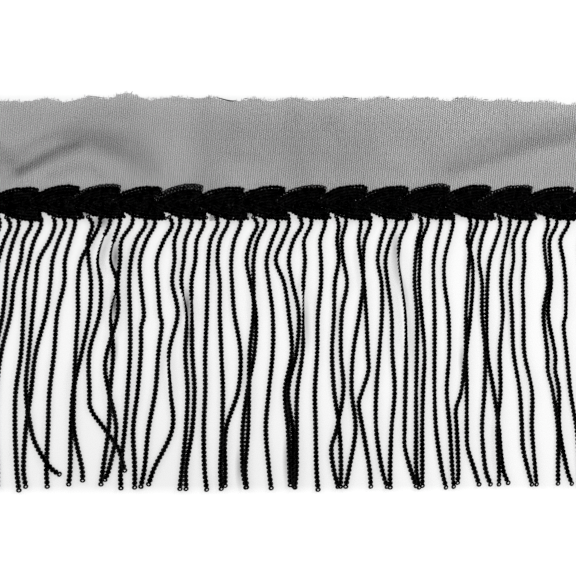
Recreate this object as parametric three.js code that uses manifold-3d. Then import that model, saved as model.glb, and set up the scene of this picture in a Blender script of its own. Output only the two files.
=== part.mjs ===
// A cut length of sequin fringe trim, lying face up on a flat surface.
// A sheer mesh heading carries a chain of sequin leaf motifs along its lower edge,
// and a fringe of sequin strands comes out from under the leaves.
//
// Units are millimetres. While it is drawn, x runs along the trim from its middle, y runs from
// the heading's lower edge towards its cut edge, and z is height above the surface.
// The last function moves the whole trim so that its box stands centred on the origin.

import * as THREE from "three";
import { mergeVertices } from "three/addons/utils/BufferGeometryUtils.js";
import Module from "manifold-3d";

// ---- driving dimensions ----

const GAP = 0.3; // clearance between separate pieces

const HEADING_LENGTH = 412;
const HEADING_THICKNESS = 1;
const HEADING_COLUMNS = 52;
const HEADING_ROWS = 9;

const SPINE_LOW = 1; // the stitched line that joins the strands, measured from the lower edge
const SPINE_HIGH = 4;
const SPINE_MARGIN = 4; // the stitched line stops this far from each end of the heading

const STRAND_WIDTH = 2.8;
const STRAND_THICKNESS = 0.9;
const STRAND_EDGE_CLEARANCE = 0.8; // a strand keeps its height until it is this far past the heading

const LEAF_COUNT = 15;
const LEAF_PITCH = 26.8;
const LEAF_THICKNESS = 1.4;
const LEAF_LENGTH = 40.3; // from a motif's pointed tip to the end of its lower lobe
const LEAF_AXIS = 9; // height of the chain's middle line above the heading's lower edge
const LEAF_FIRST_TIP = -206;
const NEST_SETBACK = 0.6; // how far the V stays back from the next motif's point
const NEST_CLEARANCE = 0.42; // gap left along both sides of the nested point

// The heading's cut edge waves: a row for each crest and dip, as [along, rise].
const CUT_EDGE = [
  [-206, 76.3],
  [-190, 76.6],
  [-181, 75.8],
  [-164, 77.8],
  [-152, 75.8],
  [-137, 79.1],
  [-126, 77.8],
  [-112, 81.7],
  [-96, 77.3],
  [-79, 79.1],
  [-67, 77.7],
  [-58, 79.0],
  [-43, 75.9],
  [-29, 78.0],
  [-17, 76.4],
  [-2, 78.4],
  [9, 76.6],
  [27, 78.5],
  [41, 77.1],
  [54, 78.6],
  [67, 77.2],
  [80, 78.6],
  [98, 76.5],
  [108, 78.4],
  [124, 76.5],
  [136, 77.1],
  [148, 75.2],
  [162, 75.9],
  [176, 74.0],
  [191, 74.9],
  [206, 74.2],
];

// Soft folds in the heading: each crest is a bowed line from "start" to "end" through "bend",
// and dies away over "below" and "above" on its two sides.
const FOLDS = [
  { start: [-196, 24], bend: [-160, 46], end: [-128, 54], height: 5.0, below: 9, above: 17 },
  { start: [-144, 50], bend: [-118, 56], end: [-88, 28], height: 3.2, below: 14, above: 14 },
  { start: [-212, 44], bend: [-200, 42], end: [-180, 34], height: 2.6, below: 9, above: 12 },
  { start: [88, 26], bend: [122, 44], end: [162, 53], height: 3.6, below: 10, above: 16 },
  { start: [140, 48], bend: [172, 56], end: [204, 60], height: 4.0, below: 10, above: 13 },
];

// How far the upper and lower lobes of each motif reach from its middle line.
const LOBES = [
  { upper: 10.8, lower: 11.6 },
  { upper: 12.1, lower: 10.2 },
  { upper: 12.8, lower: 10.1 },
  { upper: 11.5, lower: 10.9 },
  { upper: 12.8, lower: 10.6 },
  { upper: 10.9, lower: 11.0 },
  { upper: 11.6, lower: 10.8 },
  { upper: 12.1, lower: 10.5 },
  { upper: 12.2, lower: 10.9 },
  { upper: 11.6, lower: 11.0 },
  { upper: 12.8, lower: 10.6 },
  { upper: 12.2, lower: 10.8 },
  { upper: 12.1, lower: 11.0 },
  { upper: 10.9, lower: 10.9 },
  { upper: 11.4, lower: 10.7 },
];

// A lobe's outline as [distance from the tip, share of the lobe's reach].
const UPPER_OUTLINE = [
  [0, 0],
  [4, 0.32],
  [9.5, 0.57],
  [15, 0.78],
  [22, 0.94],
  [29, 1],
  [34, 0.98],
  [37.2, 0.88],
];
const LOWER_OUTLINE = [
  [0, 0],
  [5, 0.29],
  [10, 0.48],
  [14, 0.57],
  [17, 0.74],
  [22, 0.87],
  [29, 0.97],
  [36, 1],
  [39.4, 0.94],
  [LEAF_LENGTH, 0.8],
];

// Where each strand lies. The first column is its root under the leaves, the next nine are its
// place along the trim at the depths below, and the last two are its tip and how far it hangs.
const ROOT_DEPTH = -2;
const DEPTHS = [5, 15, 28, 43, 63, 88, 113, 138, 163];
// root, then the place at each depth, then tip, drop
const STRANDS = [
  [-202.5, -202, -205, -208, -209.5, -210, -210.5, -211, -210.5, -210, -209.5, 175],
  [-196, -194.5, -198, -202, -205, -206, -206.5, -207, -207, -206, -205.5, 177],
  [-191.5, -187.5, -191.5, -195.5, -199, -201, -202.5, -203.5, -203.5, -202.5, -202, 174],
  [-183.5, -182, -185.5, -189, -190.5, -192.5, -197.5, -200, -200, -199, -198.5, 176],
  [-175.5, -174, -179, -181, -185, -187.5, -193.5, -196.5, -197, -196, -196, 175],
  [-168.5, -167.5, -172, -175.5, -178, -179, -180.5, -184, -184.5, -183.5, -182, 178],
  [-160, -158.5, -162, -169, -171, -173, -175.5, -177.5, -174, -161.5, -155.5, 167.5],
  [-153.5, -152, -156, -160, -161.5, -164.5, -171, -174, -177.5, -179, -177.5, 175.5],
  [-145.5, -145.5, -148.5, -152, -152.5, -157, -159, -162, -163, -164, -163.5, 175.5],
  [-138, -134, -137, -136.5, -135, -136, -141, -146.5, -148, -148.5, -149.5, 174],
  [-129, -129.5, -134.5, -141.5, -143.5, -143.5, -145, -146, -146, -141, -140.5, 171.5],
  [-122, -123, -127.5, -130.5, -128.5, -129.5, -136, -136, -126, -113.5, -113, 165],
  [-115.5, -116.5, -120, -122, -118, -122, -120.5, -122.5, -123.5, -127, -128.5, 174],
  [-107.5, -108.5, -115, -116, -117.5, -117.5, -124.5, -123.5, -118.5, -123, -126, 171],
  [-100.5, -99.5, -105.5, -109, -110, -109.5, -109.5, -111, -113, -115.5, -115.5, 176.5],
  [-94, -93.5, -99, -103, -102.5, -100.5, -102.5, -104.5, -107.5, -106.5, -106.5, 176],
  [-85, -82, -87.5, -92, -91.5, -90, -91, -93, -97.5, -100, -102.5, 175.5],
  [-77.5, -77, -80.5, -80.5, -82, -78.5, -84, -83, -82, -93.5, -97.5, 174],
  [-69.5, -69.5, -73.5, -74.5, -76, -72.5, -73.5, -72, -73, -75.5, -77, 177],
  [-62, -61.5, -66, -67, -69.5, -69, -69, -67.5, -69, -73, -73, 177],
  [-53.5, -52.5, -57, -58.5, -59, -59.5, -60.5, -60.5, -61.5, -61, -59.5, 177.5],
  [-45.5, -46, -51, -52.5, -51, -51, -50, -49, -49.5, -50.5, -50, 177],
  [-37.5, -37.5, -41.5, -43.5, -43, -41.5, -37.5, -39, -47, -47.5, -47.5, 175],
  [-30.5, -26.5, -31, -33.5, -31, -27.5, -28.5, -33, -36, -36, -34, 176],
  [-22, -21.5, -26.5, -29, -29, -29, -31.5, -32, -32.5, -34.5, -33.5, 176],
  [-14.5, -13, -17, -20.5, -19, -16.5, -16.5, -19, -21, -19, -17.5, 176.5],
  [-6.5, -6, -10, -14.5, -9, -6, -4, -8.5, -6.5, -5.5, -5, 174.5],
  [0, 2.5, -3, -6, -3.5, 0.5, -1, -6.5, -3.5, -3.5, -2.5, 175.5],
  [8, 8.5, 4, 4.5, 3.5, 3.5, 3, -0.5, -1, -1, -2, 176],
  [17, 17.5, 14.5, 15, 15, 13, 12.5, 11, 11.5, 12, 13, 177.5],
  [24.5, 26.5, 25.5, 26.5, 24, 23.5, 22.2, 23.5, 27, 28, 27.5, 175.5],
  [31.5, 31, 28.5, 29.5, 32, 28.5, 28, 29.5, 25.2, 23, 26, 175.5],
  [40.5, 41, 39.5, 41, 43, 44.5, 45.5, 42, 42.2, 46.5, 47.5, 175.5],
  [46.5, 47, 43.5, 42.5, 42.5, 40, 36, 35, 37.5, 33.5, 31, 175.5],
  [56, 57, 54, 52, 54.5, 54.7, 53, 51, 51, 54.5, 58, 175.5],
  [63.5, 64, 60, 57, 58.5, 61, 61.5, 63, 61, 60, 60, 176],
  [70.5, 70.5, 66.5, 65.5, 67.5, 70, 70.5, 70, 69.5, 73, 77, 175],
  [79, 80.5, 78, 76.5, 76, 77.5, 77.5, 77, 77, 77, 79, 176],
  [85, 84.5, 80.5, 79.5, 79, 80.5, 82.5, 81.5, 81, 81, 81, 175],
  [93, 93, 90.5, 88.5, 88.5, 89, 89, 89, 90, 93.5, 96.5, 176],
  [101, 101, 98.5, 95.5, 95.5, 98, 98.5, 97, 99, 100.5, 101.5, 175.5],
  [111, 112.5, 110.5, 113.5, 114, 112.5, 109.5, 106.5, 103.5, 104.5, 104, 173],
  [117, 116.5, 113, 111.5, 110.5, 109.5, 109.5, 110, 110, 114.5, 118, 174],
  [123, 122.5, 119.5, 118, 120, 120, 122, 121.5, 120, 122, 125.5, 174],
  [130.5, 132, 129, 125, 123.5, 123, 123.5, 127.5, 131, 133.5, 137, 173],
  [138, 138, 136, 133.5, 132.5, 133.5, 131.5, 132, 130, 131, 131, 174],
  [145, 144, 140.5, 140.5, 138.5, 139.5, 140.5, 144.5, 146, 149.5, 152.5, 174],
  [152, 151, 147.5, 147.5, 146.5, 147, 147.5, 152.5, 152.5, 154.5, 155.5, 174],
  [162, 163, 160.5, 161.5, 163, 160, 162.5, 166, 169.5, 169.5, 169.5, 173.5],
  [168.5, 168.5, 164, 164.5, 165, 163, 167.5, 170, 170.5, 175, 178.5, 173.5],
  [176, 176, 171, 173, 174.5, 174.5, 175, 177.5, 181.5, 183.5, 184, 174],
  [184.5, 186, 184, 184, 185.5, 187, 186, 185.5, 187, 189, 190, 175],
  [192, 192.5, 189, 188.5, 190.5, 192, 193.5, 193, 192, 193.5, 195, 174],
  [200, 200, 196.5, 195.5, 197, 199, 199.5, 201, 200.5, 199, 198.5, 176],
];

// Further bends, where a strand turns between those depths: the strand's number in the table,
// counted from 1 at the left, then the depth and the place of the bend.
const EXTRA_BENDS = [
  { strand: 7, depth: 150, place: -170 },
  { strand: 12, depth: 125, place: -135 },
  { strand: 12, depth: 150, place: -117.5 },
  { strand: 14, depth: 100, place: -125.7 },
  { strand: 16, depth: 72, place: -102.3 },
  { strand: 17, depth: 70, place: -88.8 },
  { strand: 32, depth: 150, place: 21.8 },
  { strand: 33, depth: 100, place: 45.9 },
  { strand: 33, depth: 122, place: 39.6 },
  { strand: 37, depth: 150, place: 69.7 },
  { strand: 42, depth: 125, place: 103 },
  { strand: 43, depth: 150, place: 110.6 },
  { strand: 47, depth: 150, place: 146.6 },
  { strand: 49, depth: 100, place: 162.9 },
  { strand: 50, depth: 100, place: 167.7 },
  { strand: 51, depth: 71, place: 173.2 },
];

// ---- heights that follow from the dimensions ----

const SPINE_BOTTOM = HEADING_THICKNESS + GAP;
const SPINE_TOP = SPINE_BOTTOM + STRAND_THICKNESS;
const LEAF_BOTTOM = SPINE_TOP + GAP;

// ---- materials ----

const meshCloth = new THREE.MeshStandardMaterial({ color: 0x1c1c1e, roughness: 0.85, metalness: 0 });
const leafSequins = new THREE.MeshStandardMaterial({ color: 0x08080a, roughness: 0.3, metalness: 0 });
const strandSequins = new THREE.MeshStandardMaterial({ color: 0x0b0b0c, roughness: 0.3, metalness: 0 });

// ---- small helpers ----

/** The value at x of a line drawn through [x, value] points, rounded between them. */
function readCurve(points, x) {
  const last = points.length - 1;
  if (x <= points[0][0]) return points[0][1];
  if (x >= points[last][0]) return points[last][1];
  const next = points.findIndex((point) => point[0] >= x);
  const [x0, y0] = points[next - 1];
  const [x1, y1] = points[next];
  const t = (x - x0) / (x1 - x0);
  return THREE.MathUtils.lerp(y0, y1, THREE.MathUtils.smoothstep(t, 0, 1));
}

/** A geometry from a flat list of vertex numbers and a list of triangles. */
function geometryFrom(vertices, triangles) {
  const geometry = new THREE.BufferGeometry();
  geometry.setAttribute("position", new THREE.Float32BufferAttribute(vertices, 3));
  geometry.setIndex(triangles);
  return geometry;
}

/** Two triangles for the corners a, b, c, d, taken anticlockwise from outside. */
function quad(a, b, c, d) {
  return [a, b, c, a, c, d];
}

// ---- the mesh heading ----

/** A fold's crest as a curve with points ready to be measured from. */
function foldCrest(fold) {
  const [start, bend, end] = [fold.start, fold.bend, fold.end].map((p) => new THREE.Vector2(...p));
  return new THREE.QuadraticBezierCurve(start, bend, end).getPoints(24);
}

const FOLD_CRESTS = FOLDS.map(foldCrest);

/** How high one fold lifts the cloth at (x, y). */
function liftOfFold(fold, crest, x, y) {
  const here = new THREE.Vector2(x, y);
  let nearest = 0;
  for (let i = 1; i < crest.length; i += 1) {
    if (crest[i].distanceTo(here) < crest[nearest].distanceTo(here)) nearest = i;
  }
  const away = crest[nearest].distanceTo(here);
  const reach = y < crest[nearest].y ? fold.below : fold.above;
  if (away >= reach) return 0;
  const fade = Math.sin((Math.PI * nearest) / (crest.length - 1));
  return fold.height * fade * 0.5 * (1 + Math.cos((Math.PI * away) / reach));
}

/** How high all the folds together lift the cloth at (x, y). */
function clothLift(x, y) {
  const lifts = FOLDS.map((fold, i) => liftOfFold(fold, FOLD_CRESTS[i], x, y));
  return Math.max(...lifts);
}

/** The heading: a thin sheet with a straight lower edge, a waving cut edge and soft folds. */
function headingGeometry() {
  const vertices = [];
  const across = HEADING_ROWS + 1;
  const layer = (HEADING_COLUMNS + 1) * across;
  for (const height of [0, HEADING_THICKNESS]) {
    for (let i = 0; i <= HEADING_COLUMNS; i += 1) {
      const x = HEADING_LENGTH * (i / HEADING_COLUMNS - 0.5);
      const cutEdge = readCurve(CUT_EDGE, x);
      for (let j = 0; j <= HEADING_ROWS; j += 1) {
        const y = (cutEdge * j) / HEADING_ROWS;
        vertices.push(x, y, height + clothLift(x, y));
      }
    }
  }

  const triangles = [];
  const bottom = (i, j) => i * across + j;
  const top = (i, j) => layer + bottom(i, j);
  for (let i = 0; i < HEADING_COLUMNS; i += 1) {
    for (let j = 0; j < HEADING_ROWS; j += 1) {
      triangles.push(...quad(top(i, j), top(i + 1, j), top(i + 1, j + 1), top(i, j + 1)));
      triangles.push(...quad(bottom(i, j), bottom(i, j + 1), bottom(i + 1, j + 1), bottom(i + 1, j)));
    }
    const cut = HEADING_ROWS;
    triangles.push(...quad(bottom(i, 0), bottom(i + 1, 0), top(i + 1, 0), top(i, 0)));
    triangles.push(...quad(bottom(i + 1, cut), bottom(i, cut), top(i, cut), top(i + 1, cut)));
  }
  const end = HEADING_COLUMNS;
  for (let j = 0; j < HEADING_ROWS; j += 1) {
    triangles.push(...quad(bottom(0, j + 1), bottom(0, j), top(0, j), top(0, j + 1)));
    triangles.push(...quad(bottom(end, j), bottom(end, j + 1), top(end, j + 1), top(end, j)));
  }
  return geometryFrom(vertices, triangles);
}

// ---- the leaf motifs ----

/** The lobes of motif number i. The chain goes on past its last motif with the same shape. */
function lobesOf(i) {
  return LOBES[Math.min(i, LOBES.length - 1)];
}

/** The points where the next motif's pointed tip lies in this one's V, with their clearance. */
function nestSide(outline, reach, side, lastX) {
  const nested = outline.filter(([x]) => x + LEAF_PITCH < lastX);
  return nested.slice(1).map(([x, share]) => [
    x + LEAF_PITCH - NEST_SETBACK,
    side * (share * reach + NEST_CLEARANCE),
  ]);
}

/** One motif's outline, with its tip at the origin: two lobes that open to the right in a V. */
function leafShape(i) {
  const { upper, lower } = lobesOf(i);
  const next = lobesOf(i + 1);
  const topEdge = UPPER_OUTLINE.map(([x, share]) => [x, share * upper]);
  const lowEdge = LOWER_OUTLINE.map(([x, share]) => [x, -share * lower]);
  const topEnd = UPPER_OUTLINE[UPPER_OUTLINE.length - 1][0];
  const upperV = nestSide(UPPER_OUTLINE, next.upper, 1, topEnd + 1);
  const lowerV = nestSide(LOWER_OUTLINE, next.lower, -1, LEAF_LENGTH + 1);
  const apex = [LEAF_PITCH - NEST_SETBACK, 0];
  const points = [...lowEdge, ...lowerV.reverse(), apex, ...upperV, ...topEdge.reverse().slice(0, -1)];
  return new THREE.Shape(points.map(([x, y]) => new THREE.Vector2(x, y)));
}

/** One motif as a flat plate of its outline. */
function leafGeometry(i) {
  return new THREE.ExtrudeGeometry(leafShape(i), { depth: LEAF_THICKNESS, bevelEnabled: false });
}

// ---- the fringe ----

/** All the bends of one strand, from the heading down. */
function bendsOf(row, number) {
  const regular = DEPTHS.map((depth, i) => ({ depth, place: row[1 + i] }));
  const extra = EXTRA_BENDS.filter((bend) => bend.strand === number);
  return [...regular, ...extra].sort((a, b) => a.depth - b.depth);
}

/** The centre line of one strand, from its root on the heading to its tip on the surface. */
function strandRoute(row, number) {
  const root = row[0];
  const bends = bendsOf(row, number);
  const [tip, drop] = row.slice(-2);
  const shareAtEdge = (STRAND_EDGE_CLEARANCE - ROOT_DEPTH) / (bends[0].depth - ROOT_DEPTH);
  const atEdge = THREE.MathUtils.lerp(root, bends[0].place, shareAtEdge);
  return [
    new THREE.Vector3(root, -ROOT_DEPTH, SPINE_BOTTOM),
    new THREE.Vector3(atEdge, -STRAND_EDGE_CLEARANCE, SPINE_BOTTOM),
    ...bends.map((bend) => new THREE.Vector3(bend.place, -bend.depth, 0)),
    new THREE.Vector3(tip, -drop, 0),
  ];
}

/** The sideways direction of the strand at one point of its route, level with the surface. */
function sideways(route, i) {
  const before = route[Math.max(i - 1, 0)];
  const after = route[Math.min(i + 1, route.length - 1)];
  return new THREE.Vector3(before.y - after.y, after.x - before.x, 0).normalize();
}

/** One strand: a flat band with a rectangular section that follows its route. */
function strandGeometry(row, number) {
  const route = strandRoute(row, number);
  const vertices = [];
  route.forEach((point, i) => {
    const half = sideways(route, i).multiplyScalar(STRAND_WIDTH / 2);
    const left = point.clone().sub(half);
    const right = point.clone().add(half);
    vertices.push(left.x, left.y, left.z, right.x, right.y, right.z);
    vertices.push(right.x, right.y, right.z + STRAND_THICKNESS);
    vertices.push(left.x, left.y, left.z + STRAND_THICKNESS);
  });

  const triangles = [];
  for (let i = 0; i < route.length - 1; i += 1) {
    for (let side = 0; side < 4; side += 1) {
      const a = 4 * i + side;
      const b = 4 * i + ((side + 1) % 4);
      triangles.push(...quad(a, b, b + 4, a + 4));
    }
  }
  const last = 4 * (route.length - 1);
  triangles.push(...quad(3, 2, 1, 0));
  triangles.push(...quad(last, last + 1, last + 2, last + 3));
  return geometryFrom(vertices, triangles);
}

/** The stitched line under the leaves that every strand starts from. */
function spineGeometry() {
  const length = HEADING_LENGTH - 2 * SPINE_MARGIN;
  const spine = new THREE.BoxGeometry(length, SPINE_HIGH - SPINE_LOW, STRAND_THICKNESS);
  spine.translate(0, (SPINE_LOW + SPINE_HIGH) / 2, SPINE_BOTTOM + STRAND_THICKNESS / 2);
  return spine;
}

/** A closed geometry as a solid that can be joined to others. */
function solidFrom(wasm, geometry) {
  const bare = geometry.clone();
  bare.deleteAttribute("normal");
  bare.deleteAttribute("uv");
  const merged = mergeVertices(bare);
  const mesh = new wasm.Mesh({
    numProp: 3,
    vertProperties: Float32Array.from(merged.attributes.position.array),
    triVerts: Uint32Array.from(merged.index.array),
  });
  return new wasm.Manifold(mesh);
}

/** The whole comb as one solid: the stitched line with every strand joined to it. */
async function fringeGeometry() {
  const wasm = await Module();
  wasm.setup();
  let comb = solidFrom(wasm, spineGeometry());
  STRANDS.forEach((row, i) => {
    comb = comb.add(solidFrom(wasm, strandGeometry(row, i + 1)));
  });
  const mesh = comb.getMesh();
  return geometryFrom(Array.from(mesh.vertProperties), Array.from(mesh.triVerts));
}

// ---- the trim ----

/** A named mesh with its own material. */
function piece(name, geometry, material) {
  const mesh = new THREE.Mesh(geometry, material);
  mesh.name = name;
  return mesh;
}

/** The chain of leaf motifs, each one nested in the V of the one before. */
function leafChain() {
  const chain = new THREE.Group();
  for (let i = 0; i < LEAF_COUNT; i += 1) {
    const name = `leaf_${String(i + 1).padStart(2, "0")}`;
    const leaf = piece(name, leafGeometry(i), leafSequins);
    leaf.position.set(LEAF_FIRST_TIP + i * LEAF_PITCH, LEAF_AXIS, LEAF_BOTTOM);
    chain.add(leaf);
  }
  return chain;
}

/** Moves the trim so that the middle of its box's underside is the origin. */
function centreOnSurface(group) {
  group.updateMatrixWorld(true);
  const box = new THREE.Box3().setFromObject(group);
  const middle = box.getCenter(new THREE.Vector3());
  group.position.set(-middle.x, -middle.y, -box.min.z);
}

const trim = new THREE.Group();
trim.add(piece("mesh_heading", headingGeometry(), meshCloth));
trim.add(leafChain());
trim.add(piece("fringe", await fringeGeometry(), strandSequins));
centreOnSurface(trim);

export default trim;
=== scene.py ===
"""The looks of a cut length of black sequin fringe trim, lying face up on a pale surface.

Everything is drawn in millimetres in the trim's own drawing: x runs along the trim from its
middle, y runs from the heading's lower edge towards its cut edge, and z is height above the
surface. in_frame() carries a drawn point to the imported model's frame, in metres.
"""

import math

import bpy
import numpy as np
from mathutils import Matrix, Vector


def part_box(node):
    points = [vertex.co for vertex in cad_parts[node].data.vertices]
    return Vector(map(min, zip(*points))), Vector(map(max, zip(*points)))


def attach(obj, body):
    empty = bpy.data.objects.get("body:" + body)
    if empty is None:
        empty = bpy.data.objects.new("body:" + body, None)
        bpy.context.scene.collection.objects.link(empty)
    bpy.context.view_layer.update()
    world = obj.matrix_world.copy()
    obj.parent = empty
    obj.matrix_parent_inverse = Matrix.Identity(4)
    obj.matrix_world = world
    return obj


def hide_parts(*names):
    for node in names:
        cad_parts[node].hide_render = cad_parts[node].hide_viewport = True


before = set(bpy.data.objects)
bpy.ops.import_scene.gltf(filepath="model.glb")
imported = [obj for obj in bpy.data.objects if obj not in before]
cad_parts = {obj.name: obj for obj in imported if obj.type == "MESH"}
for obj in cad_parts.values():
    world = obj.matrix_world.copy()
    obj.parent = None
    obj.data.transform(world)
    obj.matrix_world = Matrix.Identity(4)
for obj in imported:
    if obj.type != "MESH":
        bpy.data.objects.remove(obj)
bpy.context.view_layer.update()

# ---- the trim's drawing, as in the CAD source ----

MM = 0.001

HEADING_LENGTH = 412
LEAF_COUNT = 15
LEAF_PITCH = 26.8
LEAF_AXIS = 9  # the motifs' middle line
LEAF_FIRST_TIP = -206

# The heading's cut edge waves: [along, rise] of each crest and dip.
CUT_EDGE = [
    [-206, 76.3], [-190, 76.6], [-181, 75.8], [-164, 77.8], [-152, 75.8], [-137, 79.1],
    [-126, 77.8], [-112, 81.7], [-96, 77.3], [-79, 79.1], [-67, 77.7], [-58, 79], [-43, 75.9],
    [-29, 78], [-17, 76.4], [-2, 78.4], [9, 76.6], [27, 78.5], [41, 77.1], [54, 78.6], [67, 77.2],
    [80, 78.6], [98, 76.5], [108, 78.4], [124, 76.5], [136, 77.1], [148, 75.2], [162, 75.9],
    [176, 74], [191, 74.9], [206, 74.2],
]

# Soft folds in the heading: the start, bend and end of each bowed crest, its height, and how far
# from the crest the fold dies away below and above it.
FOLDS = [
    ((-196, 24), (-160, 46), (-128, 54), 5, 9, 17),
    ((-144, 50), (-118, 56), (-88, 28), 3.2, 14, 14),
    ((-212, 44), (-200, 42), (-180, 34), 2.6, 9, 12),
    ((88, 26), (122, 44), (162, 53), 3.6, 10, 16),
    ((140, 48), (172, 56), (204, 60), 4, 10, 13),
]

# How far each motif's upper and lower lobe reach from its middle line.
LOBES = [
    (10.8, 11.6), (12.1, 10.2), (12.8, 10.1), (11.5, 10.9), (12.8, 10.6), (10.9, 11),
    (11.6, 10.8), (12.1, 10.5), (12.2, 10.9), (11.6, 11), (12.8, 10.6), (12.2, 10.8),
    (12.1, 11), (10.9, 10.9), (11.4, 10.7),
]

# A lobe's outline as [distance from the tip, share of the lobe's reach].
UPPER_OUTLINE = [
    [0, 0], [4, 0.32], [9.5, 0.57], [15, 0.78], [22, 0.94], [29, 1], [34, 0.98], [37.2, 0.88],
]
LOWER_OUTLINE = [
    [0, 0], [5, 0.29], [10, 0.48], [14, 0.57], [17, 0.74], [22, 0.87], [29, 0.97], [36, 1],
    [39.4, 0.94], [40.3, 0.8],
]

# Where each strand lies: its root, its places along the trim at these depths below the heading's
# lower edge, then its tip and how far it hangs.
ROOT_DEPTH = -2
DEPTHS = [5, 15, 28, 43, 63, 88, 113, 138, 163]
STRANDS = [
    [-202.5, -202, -205, -208, -209.5, -210, -210.5, -211, -210.5, -210, -209.5, 175],
    [-196, -194.5, -198, -202, -205, -206, -206.5, -207, -207, -206, -205.5, 177],
    [-191.5, -187.5, -191.5, -195.5, -199, -201, -202.5, -203.5, -203.5, -202.5, -202, 174],
    [-183.5, -182, -185.5, -189, -190.5, -192.5, -197.5, -200, -200, -199, -198.5, 176],
    [-175.5, -174, -179, -181, -185, -187.5, -193.5, -196.5, -197, -196, -196, 175],
    [-168.5, -167.5, -172, -175.5, -178, -179, -180.5, -184, -184.5, -183.5, -182, 178],
    [-160, -158.5, -162, -169, -171, -173, -175.5, -177.5, -174, -161.5, -155.5, 167.5],
    [-153.5, -152, -156, -160, -161.5, -164.5, -171, -174, -177.5, -179, -177.5, 175.5],
    [-145.5, -145.5, -148.5, -152, -152.5, -157, -159, -162, -163, -164, -163.5, 175.5],
    [-138, -134, -137, -136.5, -135, -136, -141, -146.5, -148, -148.5, -149.5, 174],
    [-129, -129.5, -134.5, -141.5, -143.5, -143.5, -145, -146, -146, -141, -140.5, 171.5],
    [-122, -123, -127.5, -130.5, -128.5, -129.5, -136, -136, -126, -113.5, -113, 165],
    [-115.5, -116.5, -120, -122, -118, -122, -120.5, -122.5, -123.5, -127, -128.5, 174],
    [-107.5, -108.5, -115, -116, -117.5, -117.5, -124.5, -123.5, -118.5, -123, -126, 171],
    [-100.5, -99.5, -105.5, -109, -110, -109.5, -109.5, -111, -113, -115.5, -115.5, 176.5],
    [-94, -93.5, -99, -103, -102.5, -100.5, -102.5, -104.5, -107.5, -106.5, -106.5, 176],
    [-85, -82, -87.5, -92, -91.5, -90, -91, -93, -97.5, -100, -102.5, 175.5],
    [-77.5, -77, -80.5, -80.5, -82, -78.5, -84, -83, -82, -93.5, -97.5, 174],
    [-69.5, -69.5, -73.5, -74.5, -76, -72.5, -73.5, -72, -73, -75.5, -77, 177],
    [-62, -61.5, -66, -67, -69.5, -69, -69, -67.5, -69, -73, -73, 177],
    [-53.5, -52.5, -57, -58.5, -59, -59.5, -60.5, -60.5, -61.5, -61, -59.5, 177.5],
    [-45.5, -46, -51, -52.5, -51, -51, -50, -49, -49.5, -50.5, -50, 177],
    [-37.5, -37.5, -41.5, -43.5, -43, -41.5, -37.5, -39, -47, -47.5, -47.5, 175],
    [-30.5, -26.5, -31, -33.5, -31, -27.5, -28.5, -33, -36, -36, -34, 176],
    [-22, -21.5, -26.5, -29, -29, -29, -31.5, -32, -32.5, -34.5, -33.5, 176],
    [-14.5, -13, -17, -20.5, -19, -16.5, -16.5, -19, -21, -19, -17.5, 176.5],
    [-6.5, -6, -10, -14.5, -9, -6, -4, -8.5, -6.5, -5.5, -5, 174.5],
    [0, 2.5, -3, -6, -3.5, 0.5, -1, -6.5, -3.5, -3.5, -2.5, 175.5],
    [8, 8.5, 4, 4.5, 3.5, 3.5, 3, -0.5, -1, -1, -2, 176],
    [17, 17.5, 14.5, 15, 15, 13, 12.5, 11, 11.5, 12, 13, 177.5],
    [24.5, 26.5, 25.5, 26.5, 24, 23.5, 22.2, 23.5, 27, 28, 27.5, 175.5],
    [31.5, 31, 28.5, 29.5, 32, 28.5, 28, 29.5, 25.2, 23, 26, 175.5],
    [40.5, 41, 39.5, 41, 43, 44.5, 45.5, 42, 42.2, 46.5, 47.5, 175.5],
    [46.5, 47, 43.5, 42.5, 42.5, 40, 36, 35, 37.5, 33.5, 31, 175.5],
    [56, 57, 54, 52, 54.5, 54.7, 53, 51, 51, 54.5, 58, 175.5],
    [63.5, 64, 60, 57, 58.5, 61, 61.5, 63, 61, 60, 60, 176],
    [70.5, 70.5, 66.5, 65.5, 67.5, 70, 70.5, 70, 69.5, 73, 77, 175],
    [79, 80.5, 78, 76.5, 76, 77.5, 77.5, 77, 77, 77, 79, 176],
    [85, 84.5, 80.5, 79.5, 79, 80.5, 82.5, 81.5, 81, 81, 81, 175],
    [93, 93, 90.5, 88.5, 88.5, 89, 89, 89, 90, 93.5, 96.5, 176],
    [101, 101, 98.5, 95.5, 95.5, 98, 98.5, 97, 99, 100.5, 101.5, 175.5],
    [111, 112.5, 110.5, 113.5, 114, 112.5, 109.5, 106.5, 103.5, 104.5, 104, 173],
    [117, 116.5, 113, 111.5, 110.5, 109.5, 109.5, 110, 110, 114.5, 118, 174],
    [123, 122.5, 119.5, 118, 120, 120, 122, 121.5, 120, 122, 125.5, 174],
    [130.5, 132, 129, 125, 123.5, 123, 123.5, 127.5, 131, 133.5, 137, 173],
    [138, 138, 136, 133.5, 132.5, 133.5, 131.5, 132, 130, 131, 131, 174],
    [145, 144, 140.5, 140.5, 138.5, 139.5, 140.5, 144.5, 146, 149.5, 152.5, 174],
    [152, 151, 147.5, 147.5, 146.5, 147, 147.5, 152.5, 152.5, 154.5, 155.5, 174],
    [162, 163, 160.5, 161.5, 163, 160, 162.5, 166, 169.5, 169.5, 169.5, 173.5],
    [168.5, 168.5, 164, 164.5, 165, 163, 167.5, 170, 170.5, 175, 178.5, 173.5],
    [176, 176, 171, 173, 174.5, 174.5, 175, 177.5, 181.5, 183.5, 184, 174],
    [184.5, 186, 184, 184, 185.5, 187, 186, 185.5, 187, 189, 190, 175],
    [192, 192.5, 189, 188.5, 190.5, 192, 193.5, 193, 192, 193.5, 195, 174],
    [200, 200, 196.5, 195.5, 197, 199, 199.5, 201, 200.5, 199, 198.5, 176],
]

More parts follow.
